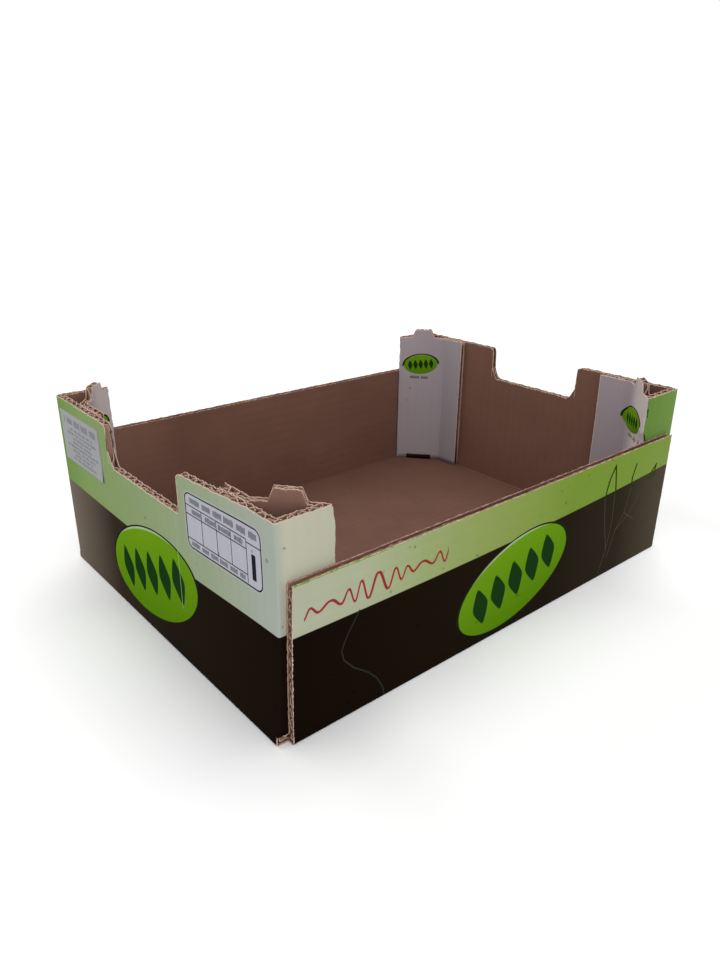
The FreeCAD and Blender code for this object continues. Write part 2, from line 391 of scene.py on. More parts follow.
# 1 inside a distance's zero line and 0 outside, over a soft edge in millimetres
def inside(tree, distance, soft=0.25):
    return linear(tree, distance, -1 / soft, 0.5, clamp=True)


# Node group with numbers and vectors as inputs; its results are all numbers
def newGroup(name, **inputs):
    tree = bpy.data.node_groups.new(name, "ShaderNodeTree")
    for label, value in inputs.items():
        kind = "NodeSocketVector" if isinstance(value, tuple) else "NodeSocketFloat"
        tree.interface.new_socket(label, in_out="INPUT", socket_type=kind).default_value = value
    return tree, tree.nodes.new("NodeGroupInput").outputs


def closeGroup(tree, **results):
    for label in results:
        tree.interface.new_socket(label, in_out="OUTPUT", socket_type="NodeSocketFloat")
    setInputs(tree, tree.nodes.new("NodeGroupOutput"), results)
    return tree


def place(tree, group, **values):
    node = tree.nodes.new("ShaderNodeGroup")
    node.node_tree = group
    return setInputs(tree, node, values).outputs


# Distance to a box with rounded corners: length of the part of |p - centre| - half + corner
# that is over zero, less the corner
def boxGroup():
    tree, given = newGroup("box outline", At=origin, Centre=origin, Half=(1, 1, 0), Corner=0.0)
    away = vectors(tree, "ABSOLUTE", vectors(tree, "SUBTRACT", given["At"], given["Centre"]))
    corner = joined(tree, given["Corner"], given["Corner"])
    x, y, _ = parts(tree, vectors(tree, "ADD", vectors(tree, "SUBTRACT", away, given["Half"]), corner))
    outer = vectors(tree, "LENGTH", vectors(tree, "MAXIMUM", joined(tree, x, y), origin))
    inner = maths(tree, "MINIMUM", maths(tree, "MAXIMUM", x, y), 0.0)
    return closeGroup(tree, Distance=minus(tree, maths(tree, "ADD", outer, inner), given["Corner"]))


# Distance to a straight stroke: the nearest point is a + h(b - a), h = (p - a).(b - a) / |b - a|^2
def strokeGroup():
    tree, given = newGroup("pen stroke", At=origin, From=origin, To=(1, 1, 0), Width=1.0)
    run = vectors(tree, "SUBTRACT", given["To"], given["From"])
    away = vectors(tree, "SUBTRACT", given["At"], given["From"])
    share = maths(tree, "DIVIDE", vectors(tree, "DOT_PRODUCT", away, run),
                  vectors(tree, "DOT_PRODUCT", run, run), clamp=True)
    gap = vectors(tree, "DISTANCE", away, scaled(tree, run, share))
    return closeGroup(tree, Mask=inside(tree, minus(tree, gap, times(tree, given["Width"], 0.5)), 0.3))


# Turned oval with five lozenges: in the oval's own units (p, q) a lozenge is dark where
# cos(across p + up q) cos(across p - up q) is over a level, inside a band across the middle.
# The gleam is what lies outside a like oval, set lower.
lozenges = {"across": 10.0, "up": 2.7, "level": 1 / 24, "band": 0.53, "ends": 11.4 / 14}
gleam = {"shape": (0.95, 1, 0), "middle": (0, -0.1, 0), "from": 1.03}


def badgeGroup():
    tree, given = newGroup("lozenge badge", At=origin, Centre=origin, Radii=(50, 25, 1), Turn=0.0)
    values = {"Vector": given["At"], "Center": given["Centre"], "Angle": given["Turn"]}
    turned = addNode(tree, "ShaderNodeVectorRotate", values, rotation_type="Z_AXIS").outputs[0]
    unit = vectors(tree, "DIVIDE", vectors(tree, "SUBTRACT", turned, given["Centre"]), given["Radii"])
    p, q, _ = parts(tree, unit)
    flat = joined(tree, p, q)
    rim = times(tree, minus(tree, vectors(tree, "LENGTH", flat), 1.0), parts(tree, given["Radii"])[1])
    along = times(tree, p, lozenges["across"])
    waves = [maths(tree, "COSINE", linear(tree, q, way * lozenges["up"], along)) for way in (1, -1)]
    lozenge = over(tree, times(tree, *waves), lozenges["level"], 12.0)
    band = under(tree, size(tree, q), lozenges["band"], 20.0)
    ends = under(tree, size(tree, p), lozenges["ends"], 14.0)
    low = vectors(tree, "DISTANCE", vectors(tree, "MULTIPLY", flat, gleam["shape"]), gleam["middle"])
    whole = inside(tree, rim)
    ring = inside(tree, minus(tree, size(tree, minus(tree, rim, 0.4)), 0.6))
    upper = linear(tree, q, 6.0, 0.8, clamp=True)
    shine = times(tree, over(tree, low, gleam["from"], 24.0), whole)
    motif = times(tree, lozenge, band, ends)
    line = times(tree, ring, upper)
    return closeGroup(tree, Whole=whole, Motif=motif, Line=line, Gleam=shine, Height=q)


# Rows of small marks, like print too fine to read: a row is a level bar broken into fine
# upright strokes, with gaps where the white noise of a six-stroke cell is low, and each row has
# its own half length
def smallPrintGroup():
    tree, given = newGroup("small print", At=origin, Centre=origin, Rows=1.0, Spacing=3.0, Half=20.0,
                           Cell=1.1, Ragged=0.5)
    x, y, _ = parts(tree, vectors(tree, "SUBTRACT", given["At"], given["Centre"]))
    lines = maths(tree, "DIVIDE", y, times(tree, given["Spacing"], -1.0))
    row = maths(tree, "FLOOR", lines)
    offRow = size(tree, minus(tree, minus(tree, lines, row), 0.5))
    steps = maths(tree, "DIVIDE", x, given["Cell"])
    pair = joined(tree, maths(tree, "FLOOR", steps), row)
    chance = chanceOf(tree, "2D", Vector=pair)
    rowChance = chanceOf(tree, "1D", W=row)
    tall = linear(tree, maths(tree, "GREATER_THAN", chance, 0.8), 0.07, 0.30)
    bar = linear(tree, minus(tree, tall, offRow), 9.0, 0.5, clamp=True)
    stroke = linear(tree, maths(tree, "SINE", times(tree, steps, 4 * math.pi)), 0.9, 0.75, clamp=True)
    words = linear(tree, rowChance, 5.0, maths(tree, "DIVIDE", steps, 6.0))
    wordPair = joined(tree, maths(tree, "FLOOR", words), row, 7.0)
    wordChance = chanceOf(tree, "3D", Vector=wordPair)
    gap = maths(tree, "GREATER_THAN", maths(tree, "FRACT", words), times(tree, wordChance, 0.3))
    reach = times(tree, given["Half"], minus(tree, 1.0, times(tree, rowChance, given["Ragged"])))
    span = maths(tree, "LESS_THAN", size(tree, x), reach)
    begun = maths(tree, "GREATER_THAN", lines, 0.0)
    done = maths(tree, "LESS_THAN", lines, given["Rows"])
    return closeGroup(tree, Mask=times(tree, bar, stroke, gap, span, begun, done))


# Paper: fibres are fine noise stretched one way, cloud is slow noise, and height joins both
def paperGroup():
    tree, given = newGroup("paper", Fibre=900.0, Cloud=28.0)
    at = objectAt(tree)
    fine = noise(tree, at, given["Fibre"], 3.0, rough=0.65)
    stretched = vectors(tree, "MULTIPLY", at, (1.0, 1.0, 3.5))
    strands = noise(tree, stretched, times(tree, given["Fibre"], 0.35), 2.0)
    slow = noise(tree, at, given["Cloud"], 3.0)
    tone = linear(tree, fine, 0.6, times(tree, strands, 0.4))
    return closeGroup(tree, Tone=tone, Cloud=slow, Height=linear(tree, slow, 0.8, tone))


# Flute lines that show through a facing: a sine of the distance across the flutes, broken by noise
fluteLook = {"bendScale": 18.0, "bend": 1.2, "patchScale": 22.0, "patches": (1.6, -0.3)}


def fluteGroup():
    tree, given = newGroup("flute lines", Across=0.0)
    at = objectAt(tree)
    bend = times(tree, minus(tree, noise(tree, at, fluteLook["bendScale"], 1.0), 0.5), fluteLook["bend"])
    wave = maths(tree, "SINE", linear(tree, given["Across"], 2 * math.pi / (sheet["pitch"] * 1000), bend))
    patch = linear(tree, noise(tree, at, fluteLook["patchScale"]), *fluteLook["patches"], clamp=True)
    return closeGroup(tree, Line=linear(tree, times(tree, wave, patch), 0.5, 0.5))


# Wear beside a cut: 1 where the coating has flaked within a noisy distance of the edge
frayLook = {"scale": 420.0, "ragged": (3.4, -1.1)}


def frayGroup():
    tree, given = newGroup("cut edge fray", Reach=0.0006)
    cut = addNode(tree, "ShaderNodeAttribute", attribute_name="cut").outputs["Fac"]
    grain = noise(tree, objectAt(tree), frayLook["scale"], 3.0, rough=0.7)
    ragged = linear(tree, grain, *frayLook["ragged"])
    return closeGroup(tree, Fray=maths(tree, "LESS_THAN", cut, times(tree, given["Reach"], ragged)))


shapes = {
    "box": boxGroup(), "stroke": strokeGroup(), "badge": badgeGroup(), "smallPrint": smallPrintGroup(),
    "paper": paperGroup(), "flutes": fluteGroup(), "fray": frayGroup(),
}
print("node groups ready", len(shapes))


# Material with its Principled shader: constants go straight onto the shader's sockets
def newMaterial(name, constants):
    material = bpy.data.materials.new(name)
    material.use_nodes = True
    tree = material.node_tree
    shader = tree.nodes["Principled BSDF"]
    for key, value in constants.items():
        shader.inputs[key].default_value = value
    return material, tree, shader


# Panel coordinates in millimetres
def panelPlace(tree):
    at = scaled(tree, addNode(tree, "ShaderNodeUVMap", uv_map="panel").outputs[0], 1000.0)
    u, v, _ = parts(tree, at)
    return at, u, v


# Paper looks: scales of the fibres and clouds, how strongly each pattern shows in the colour,
# bump of the flute lines and grain, and how far the coating has flaked beside a cut (metres)
coated = {
    "fibre": 1500.0, "cloud": 34.0, "tone": 0.06, "mottle": 0.07, "lines": 0.03, "rough": 0.52,
    "washboard": 0.04, "grain": 0.025, "specks": 0.45, "fray": 0.0007, "frayInk": (206, 184, 164),
}
kraft = {
    "fibre": 1100.0, "cloud": 30.0, "tone": 0.22, "mottle": 0.16, "lines": 0.06, "rough": 0.85,
    "washboard": 0.09, "grain": 0.05, "specks": 0.0, "fray": 0.0006, "frayInk": (190, 160, 140),
}
specks = {"scale": 230.0, "from": 14.9 / 18, "steep": 18.0, "tint": (0.16, 0.14, 0.1, 1)}
# Stain clouds, and painted light that makes the near end's brown paper paler
stainsAndPaintedLight = {"scale": 14.0, "fade": (-12.0, -1.2), "paler": 14}
flecks = {"scale": 700.0, "from": 10.2 / 14, "steep": 14.0, "ink": (92, 62, 44), "strength": 0.5}


# Value spread around 1 by an amount
def around(tree, value, amount):
    return linear(tree, value, amount, 1 - amount / 2)


# Colour through paper tone and wear, roughness from noise, and bump from fibres and flutes
def finishPaper(tree, shader, colour, across, look):
    paper = place(tree, shapes["paper"], Fibre=look["fibre"], Cloud=look["cloud"])
    flutes = place(tree, shapes["flutes"], Across=across)
    fray = place(tree, shapes["fray"], Reach=look["fray"])["Fray"]
    fibres = around(tree, paper["Tone"], look["tone"])
    clouds = around(tree, paper["Cloud"], look["mottle"])
    tone = times(tree, fibres, clouds, around(tree, flutes["Line"], look["lines"]))
    toned = blendInk(tree, 1.0, colour, joined(tree, tone, tone, tone), "MULTIPLY")
    speck = over(tree, noise(tree, objectAt(tree), specks["scale"], 0.0), specks["from"], specks["steep"])
    toned = blendInk(tree, times(tree, speck, look["specks"]), toned, specks["tint"], "MULTIPLY")
    tree.links.new(blendInk(tree, fray, toned, ink(*look["frayInk"])), shader.inputs["Base Color"])
    rough = linear(tree, paper["Cloud"], 0.14, look["rough"] - 0.07)
    tree.links.new(maths(tree, "MAXIMUM", rough, times(tree, fray, 0.9)), shader.inputs["Roughness"])
    height = linear(tree, flutes["Line"], look["washboard"], times(tree, paper["Height"], look["grain"]))
    addBump(tree, shader, height, 0.001)


badgeInk = {
    "bright": (104, 148, 24), "shade": (84, 128, 14), "dark": (24, 56, 22), "gleam": (170, 188, 150),
    "line": (30, 38, 22),
}


# Lays a badge over the colour so far
def addBadge(tree, colour, at, centre, radii, turn):
    badge = place(tree, shapes["badge"], At=at, Centre=(*centre, 0), Radii=(*radii, 1), Turn=turn)
    high = linear(tree, badge["Height"], 0.5, 0.5, clamp=True)
    ground = blendInk(tree, high, ink(*badgeInk["shade"]), ink(*badgeInk["bright"]))
    colour = blendInk(tree, badge["Whole"], colour, ground)
    for layer, tint in (("Gleam", "gleam"), ("Motif", "dark"), ("Line", "line")):
        colour = blendInk(tree, badge[layer], colour, ink(*badgeInk[tint]))
    return colour


def addStroke(tree, colour, at, start, end, width, stroke):
    mask = place(tree, shapes["stroke"], At=at, From=(*start, 0), To=(*end, 0), Width=width)["Mask"]
    return blendInk(tree, mask, colour, ink(*stroke))


def addBar(tree, colour, at, left, right, low, high, bar, corner=0.0, soft=0.25):
    edge = place(tree, shapes["box"], At=at, Centre=((left + right) / 2, (low + high) / 2, 0),
                 Half=((right - left) / 2, (high - low) / 2, 1), Corner=corner)["Distance"]
    return blendInk(tree, inside(tree, edge, soft), colour, ink(*bar))


def addSmallPrint(tree, colour, at, left, right, top, rows, spacing, cell, mark, ragged=0.0):
    mask = place(tree, shapes["smallPrint"], At=at, Centre=((left + right) / 2, top, 0), Rows=float(rows),
                 Spacing=spacing, Half=(right - left) / 2, Cell=cell, Ragged=ragged)["Mask"]
    return blendInk(tree, mask, colour, ink(*mark))


# Height of the joint between the two fields of colour: level + tilt t + rise t^2, where t goes
# from -1 to 1 over the width. 1 below it and 0 above.
def belowJoint(tree, u, v, joint):
    level, rise, tilt, half = joint
    t = maths(tree, "DIVIDE", u, half)
    height = linear(tree, times(tree, t, t), rise, linear(tree, t, tilt, level))
    return inside(tree, minus(tree, v, height), 0.5)


# Print of an end strip, in millimetres from the wall's middle: broad post on the positive side
endLook = {
    "band": [(-187, (98, 132, 60)), (-145, (112, 142, 74)), (-100, (128, 152, 96)), (-40, (134, 153, 105)),
             (20, (140, 157, 118)), (75, (148, 160, 132)), (145, (163, 170, 160)), (150, (183, 183, 163)),
             (187, (180, 180, 160))],
    # Dark field: print, with painted reflection: lighter towards the slim post, standing in for the sheen
    # of the white room at a grazing view
    "dark": [(-145, (116, 106, 95)), (-118, (100, 90, 79)), (-60, (52, 44, 37)), (20, (35, 28, 22)),
             (145, (25, 17, 12))],
    "joint": (71.0, 1.0, -0.3, 145.0),   # level, rise at both ends, tilt, half width
    "badge": ((-1.0, 48.0), (64.0, 33.0), -0.27),
    "fold": 187.2,                       # flap's fold, from the wall's middle
    "smallBadges": [(1, 24.5, (17.8, 10.4)), (-1, 31.5, (21.0, 10.6))],   # side, past the fold, radii
    "smallBadgeHeight": 111.6,
    "marks": (-12, 8, 99.5, (52, 44, 40)),          # under a small badge: left, right, top, ink
    # Painted highlight: a pale line where the board is bent at the low panel's end
    "crease": (40.75, 41.25, 41.0, 108.0),
    "creaseHighlightInk": (156, 172, 132),
    "dashes": [(-186.4, -184.2, 104, 110), (-186.4, -184.2, 124, 131)],
    "dashInk": (30, 56, 22),
    # White coat of the diagonals and glue panels, with painted shade: darker on the glue panels, and
    # darker all along the broad side
    "white": [(-240, (158, 148, 153)), (-230, (158, 148, 153)), (-214, (192, 182, 180)),
              (-187, (196, 186, 184)), (187, (166, 156, 160)), (240, (158, 148, 153))],
}


def endPrint():
    material, tree, shader = newMaterial("printed end", {"Specular IOR Level": 0.0})
    at, u, v = panelPlace(tree)
    below = belowJoint(tree, u, v, endLook["joint"])
    # Green band over the dark field; the dark field's lighter far part is painted reflection
    colour = blendInk(tree, below, gradient(tree, u, endLook["band"]), gradient(tree, u, endLook["dark"]))
    colour = addBadge(tree, colour, at, *endLook["badge"])
    # Painted highlight along the crease
    colour = addBar(tree, colour, at, *endLook["crease"], endLook["creaseHighlightInk"], soft=0.5)
    colour = addForm(tree, colour, at)
    # White coat past the flaps' folds, with its painted shade
    inner = over(tree, size(tree, u), endLook["fold"], 2.0)
    colour = blendInk(tree, inner, colour, gradient(tree, u, endLook["white"]))
    for dash in endLook["dashes"]:
        colour = addBar(tree, colour, at, *dash, endLook["dashInk"])
    before, after, top, mark = endLook["marks"]
    for side, along, radii in endLook["smallBadges"]:
        centre = endLook["fold"] + along
        colour = addBadge(tree, colour, at, (side * centre, endLook["smallBadgeHeight"]), radii, -0.1)
        left, right = sorted((side * (centre + before), side * (centre + after)))
        colour = addSmallPrint(tree, colour, at, left, right, top, 1, 4.2, 2.1, mark)
    finishPaper(tree, shader, colour, u, coated)
    return material


# Plain ruled form on the broad post: a white card with a ring, rules and marks too small to read.
# Rules are (start, end, height) and columns (across, bottom, top); rows of marks are
# (left, right, top, spacing, cell).
formLook = {
    "card": (56.0, 131.0, 92.5, 129.8), "corner": 5.0, "white": (176, 176, 184),
    "line": (34, 34, 38), "mark": (44, 44, 52),
    "rules": [(56.5, 117.4, 120.6), (56.5, 117.4, 114.6), (56.5, 117.4, 98.6), (117.4, 130.7, 119.0)],
    "columns": [(73.0, 98.6, 120.6), (88.4, 98.6, 120.6), (102.6, 98.6, 120.6), (117.4, 93.5, 120.6)],
    "bar": (121.8, 125.6, 97.5, 113.5),
    "rows": [(60, 127.5, 128.0, 6.4, 1.9), (60, 114, 119.9, 5.0, 2.4), (60, 115, 98.0, 4.6, 1.6)],
}


def addForm(tree, colour, at):
    left, right, low, high = formLook["card"]
    middle, half = ((left + right) / 2, (low + high) / 2, 0), ((right - left) / 2, (high - low) / 2, 1)
    card = place(tree, shapes["box"], At=at, Centre=middle, Half=half, Corner=formLook["corner"])
    edge = card["Distance"]
    colour = blendInk(tree, inside(tree, minus(tree, edge, 1.0), 2.5), colour, ink(*formLook["white"]))
    ring = inside(tree, minus(tree, size(tree, edge), 0.5))
    colour = blendInk(tree, ring, colour, ink(*formLook["line"]))
    for start, end, height in formLook["rules"]:
        colour = addBar(tree, colour, at, start, end, height - 0.35, height + 0.35, formLook["line"])
    for across, bottom, top in formLook["columns"]:
        colour = addBar(tree, colour, at, across - 0.3, across + 0.3, bottom, top, formLook["line"])
    colour = addBar(tree, colour, at, *formLook["bar"], formLook["line"], 0.6)
    for start, end, top, spacing, cell in formLook["rows"]:
        colour = addSmallPrint(tree, colour, at, start, end, top, 1, spacing, cell, formLook["mark"])
    return colour


# Print of a long wall, in millimetres from its middle, the pale end on the left. The red line is
# middle + swing sin(turns), where swing = 4.4 + 2.6 sin(0.083 u) and turns = 0.52 u + 0.9 sin(0.17 u).
longLook = {
    "band": [(-192, (173, 176, 154)), (-140, (168, 174, 144)), (-90, (150, 164, 111)),
             (-40, (139, 156, 88)), (10, (131, 151, 74)), (60, (116, 144, 55)), (130, (118, 145, 58)),
             (192, (125, 148, 72))],
    # Dark field: print, with painted reflection: lighter towards the right-hand end, standing in for the
    # sheen of the white room at a grazing view
    "dark": [(-192, (20, 13, 8)), (-90, (27, 20, 13)), (40, (33, 27, 20)), (130, (48, 42, 33)),
             (192, (80, 72, 59))],
    "joint": (71.1, 3.9, 3.4, 190.0),    # level, rise at both ends, tilt, half width
    "badge": ((-1.0, 39.5), (58.5, 31.5), -0.26),
    "topLine": (102.9, (112, 152, 62)),
    "wave": {"left": -184.0, "right": -72.0, "middle": 83.5, "pitch": 0.52, "ink": (146, 44, 50)},
    "strokes": [[(102.2, 71), (103.5, 79), (106.1, 88), (111.1, 96.5), (114, 84), (116.6, 71)],
                [(142, 90), (138.4, 79.6), (138.8, 71)],
                [(166, 72), (168, 77), (173.7, 82.5), (171.9, 72)]],
    "faint": [[(115.4, 71), (117.4, 48.7), (114.7, 25.6), (108, 4)],
              [(102.2, 71), (107.2, 47.5), (114.6, 22.9)],
              [(138.8, 71), (133.8, 50.4), (124.4, 37.7), (117.1, 15.7)],
              [(154.4, 62.3), (140.3, 46.3), (124.4, 37.7)], [(150, 40), (133.8, 50.4)]],
    "curl": [[(-144.3, 71), (-151.2, 60.6), (-155.6, 53), (-157.1, 48.4), (-155.4, 41.7), (-147.8, 33.1),
              (-136.5, 24.5), (-129.4, 16.9), (-124.4, 7.9), (-123.1, 1.8)]],
    "pens": {"strokes": (1.8, (36, 58, 20)), "faint": (0.7, (76, 71, 57)), "curl": (0.9, (44, 48, 36))},
}


def redLine(tree, u, v):
    wave = longLook["wave"]
    swing = linear(tree, maths(tree, "SINE", times(tree, u, 0.083)), 2.6, 4.4)
    turns = linear(tree, maths(tree, "SINE", times(tree, u, 0.17)), 0.9, times(tree, u, wave["pitch"]))
    height = linear(tree, maths(tree, "SINE", turns), swing, wave["middle"])
    slope = times(tree, maths(tree, "COSINE", turns), swing, wave["pitch"])
    steep = maths(tree, "SQRT", linear(tree, slope, slope, 1.0))
    gap = maths(tree, "DIVIDE", size(tree, minus(tree, v, height)), steep)
    line = inside(tree, minus(tree, gap, 0.8), 0.4)
    begun = maths(tree, "GREATER_THAN", u, wave["left"])
    return times(tree, line, begun, maths(tree, "LESS_THAN", u, wave["right"]))


def longPrint():
    material, tree, shader = newMaterial("printed side", {"Specular IOR Level": 0.0})
    at, u, v = panelPlace(tree)
    below = belowJoint(tree, u, v, longLook["joint"])
    height, green = longLook["topLine"]
    atTop = inside(tree, minus(tree, height, v), 0.4)
    colour = gradient(tree, u, longLook["band"])
    colour = blendInk(tree, times(tree, atTop, under(tree, u, -80, 1 / 60)), colour, ink(*green))
    colour = blendInk(tree, redLine(tree, u, v), colour, ink(*longLook["wave"]["ink"]))
    # Dark field under the joint, its lighter right-hand part painted reflection
    colour = blendInk(tree, below, colour, gradient(tree, u, longLook["dark"]))
    for pen, (width, stroke) in longLook["pens"].items():
        for points in longLook[pen]:
            for start, end in zip(points[:-1], points[1:]):
                colour = addStroke(tree, colour, at, start, end, width, stroke)
    colour = addBadge(tree, colour, at, *longLook["badge"])
    finishPaper(tree, shader, colour, v, coated)
    return material


# Unprinted coated paper under the tray
def plainWhite():
    material, tree, shader = newMaterial("plain coated paper", {"Specular IOR Level": 0.35})
    at = objectAt(tree)
    colour = blendInk(tree, noise(tree, at, 12.0), ink(176, 168, 158), ink(190, 183, 174))
    finishPaper(tree, shader, colour, times(tree, parts(tree, at)[1], 1000.0), coated)
    return material


# Brown facing; across is 0 where the flutes stand upright and 1 where they lie
def kraftPaper(name, across, dark, light):
    material, tree, shader = newMaterial(name, {"Specular IOR Level": 0.2})
    _, *uv = panelPlace(tree)
    at = objectAt(tree)
    colour = blendInk(tree, noise(tree, at, stainsAndPaintedLight["scale"], 4.0, rough=0.6), ink(*dark), ink(*light))
    # Painted light: the brown papers are paler towards the near end, standing in for the light that
    # reaches it and not the far end
    paintedNearLight = linear(tree, parts(tree, at)[0], *stainsAndPaintedLight["fade"], clamp=True)     # paler towards the near end
    colour = blendInk(tree, paintedNearLight, colour, ink(*(v + stainsAndPaintedLight["paler"] for v in light)))
    fleck = over(tree, noise(tree, at, flecks["scale"], 1.0), flecks["from"], flecks["steep"])
    colour = blendInk(tree, times(tree, fleck, flecks["strength"]), colour, ink(*flecks["ink"]))
    finishPaper(tree, shader, colour, uv[across], kraft)
    return material


# Torn edge of paper: pale fibres over pinkish tan
rawLook = {"fibre": 1300.0, "patches": 210.0, "bare": (3.0, -0.8), "rough": (0.2, 0.78), "bump": 0.0002}


def rawEdge(name, dark, middle, pale):
    material, tree, shader = newMaterial(name, {"Specular IOR Level": 0.1})
    at = objectAt(tree)
    fibres = noise(tree, at, rawLook["fibre"], 3.0, rough=0.7)
    colour = blendInk(tree, noise(tree, at, rawLook["patches"]), ink(*middle), ink(*pale))
    bare = linear(tree, fibres, *rawLook["bare"], clamp=True)
    tree.links.new(blendInk(tree, bare, ink(*dark), colour), shader.inputs["Base Color"])
    tree.links.new(linear(tree, fibres, *rawLook["rough"]), shader.inputs["Roughness"])
    addBump(tree, shader, fibres, rawLook["bump"])
    return material


paint = {
    "end": endPrint(),
    "long": longPrint(),
    "white": plainWhite(),
    "kraftUp": kraftPaper("brown facing, flutes upright", 0, (104, 73, 61), (126, 91, 77)),
    "kraftFlat": kraftPaper("brown facing, flutes level", 1, (104, 73, 61), (126, 91, 77)),
    "fluting": kraftPaper("brown fluting", 0, (116, 86, 72), (142, 110, 94)),
    "raw": rawEdge("raw paper edge", (150, 116, 98), (196, 164, 146), (232, 212, 196)),
    # Painted shade: a darker copy of the raw edge for the long walls, standing in for the shade on their
    # cut edges
    "rawShadedCopy": rawEdge("raw paper edge, darker", (112, 78, 68), (150, 116, 102), (186, 156, 142)),
}
print("paper materials ready", len(paint))


# Layers of the board: depth of the surface from the printed face, and how its cut edges stand
layers = {
    "outer": {"depth": 0.0, "edge": 0.00050, "recess": 0.0001, "way": -1},
    "inner": {"depth": sheet["board"], "edge": 0.00065, "recess": 0.0001, "way": 1},
    "fluting": {"depth": sheet["board"] / 2, "edge": 0.00085, "recess": 0.0005, "way": 1},
}
waveHeight = (sheet["board"] - 2 * sheet["facing"] - sheet["fluting"]) / 2


# Fluting: a sine of the distance along the board, its phase and height wandering a little
def flute(s, seed):
    turns = 2 * math.pi * (s + wander(s, 0.0022, seed)) / sheet["pitch"]
    return waveHeight * (1 - np.abs(wander(s, 0.45, seed + 1))) * np.sin(turns)


# The wave is flatter beside a fold
def calm(away):
    return 0.25 + 0.75 * ease(away, 0.003, 0.009)


# Distance along the strip from the middle of the nearer tab
def fromTab(u):
    return np.abs(np.abs(u) - flapFace - tray["flap"] - tray["tabCentre"])


# Top edge of an end strip. On a post it is the post's height, rounded at the free edge:
# top - r + sqrt(r^2 - (r - d)^2) at distance d from it. Beside the post the flare is
# low + height (1 + d / width)^2. On the diagonal the tab stands on top of it.
def stripTop(u, flared):
    top = np.full(u.shape, tray["postTop"])
    r = tray["postRound"]
    for side, post, hasFlare in ((1, tray["broadPost"], flared), (-1, tray["slimPost"], True)):
        here = (side * u >= 0) & (np.abs(u) <= flapFace)
        d = side * u - (flapFace - post)
        rounded = tray["postTop"] - r + np.sqrt(r ** 2 - (r - np.clip(d, 0, r)) ** 2)
        flare = np.clip(1 + d / tray["flareWidth"], 0, 1) ** 2 * tray["flareHeight"] * hasFlare
        foot = np.clip(1 + d / tray["footWidth"], 0, 1) ** 3 * tray["footHeight"]
        top = np.where(here, np.where(d >= 0, rounded, tray["lowTop"] + np.maximum(flare, foot)), top)
    off = fromTab(u)
    slope = (tray["tabFoot"] - tray["tabHead"]) / 2
    tab = np.clip((tray["tabFoot"] / 2 - off) / slope, 0, 1) * tray["tabHeight"]
    shoulder = np.clip((off - tray["tabHead"] / 2) / tray["tabRound"] + 1, 0, 1) ** 2 * tray["tabDrop"]
    return top + tab - shoulder * (tab > tray["tabDrop"])


# Lower edge of an end strip: level, with a notch for the tab below in the diagonal's foot
def stripFoot(u):
    return np.where(fromTab(u) <= tray["slotLength"] / 2, tray["slotRise"], flapFoot)


# Plan of an end strip at -X, from the broad post's glue panel round to the slim post's
panelX, flapX = panelFace - halfLength, tray["flap"] - halfLength
plan = np.array([
    (panelX, -flapFace + tray["broadPanel"]), (panelX, -flapFace + tray["reach"]), (flapX, -flapFace),
    (-halfLength, -flapFace), (-halfLength, flapFace), (flapX, flapFace),
    (panelX, flapFace - tray["reach"]), (panelX, flapFace - tray["slimPanel"])])
planLength = np.linalg.norm(np.diff(plan, axis=0), axis=1)
planBase = np.concatenate([[0], np.cumsum(planLength)[:-1]])
wallMiddle = planBase[3] + planLength[3] / 2
crease, fold = sheet["creaseRadius"], sheet["foldRadius"]
planRadii = [crease, crease, fold, fold, crease, crease]


# Stations along the strip: even ones, and a pair at each step of the top or foot
def stripStations(spacing):
    even = np.arange(-0.27, 0.27, spacing)
    steps = []
    for side, post in ((1, tray["broadPost"]), (-1, tray["slimPost"])):
        edge = side * (flapFace - post)
        centre = side * (flapFace + tray["flap"] + tray["tabCentre"])
        steps += [edge - same, edge + same]
        steps += [edge + side * d for d in (0.0002, 0.0006, 0.0012, 0.002, 0.003)]
        steps += [edge - side * d for d in (0.0007, 0.0014, 0.002, 0.0035, 0.005, 0.0065)]
        for half in (tray["tabFoot"] / 2, tray["tabHead"] / 2, tray["tabHead"] / 2 - 0.0009):
            steps += [centre - half, centre + half]
        slot = tray["slotLength"] / 2
        steps += [centre + end + nudge for end in (-slot, slot) for nudge in (-same, same)]
    s = wallMiddle - np.unique(np.concatenate([even, steps]))
    return [np.sort(s - base) for base in planBase]


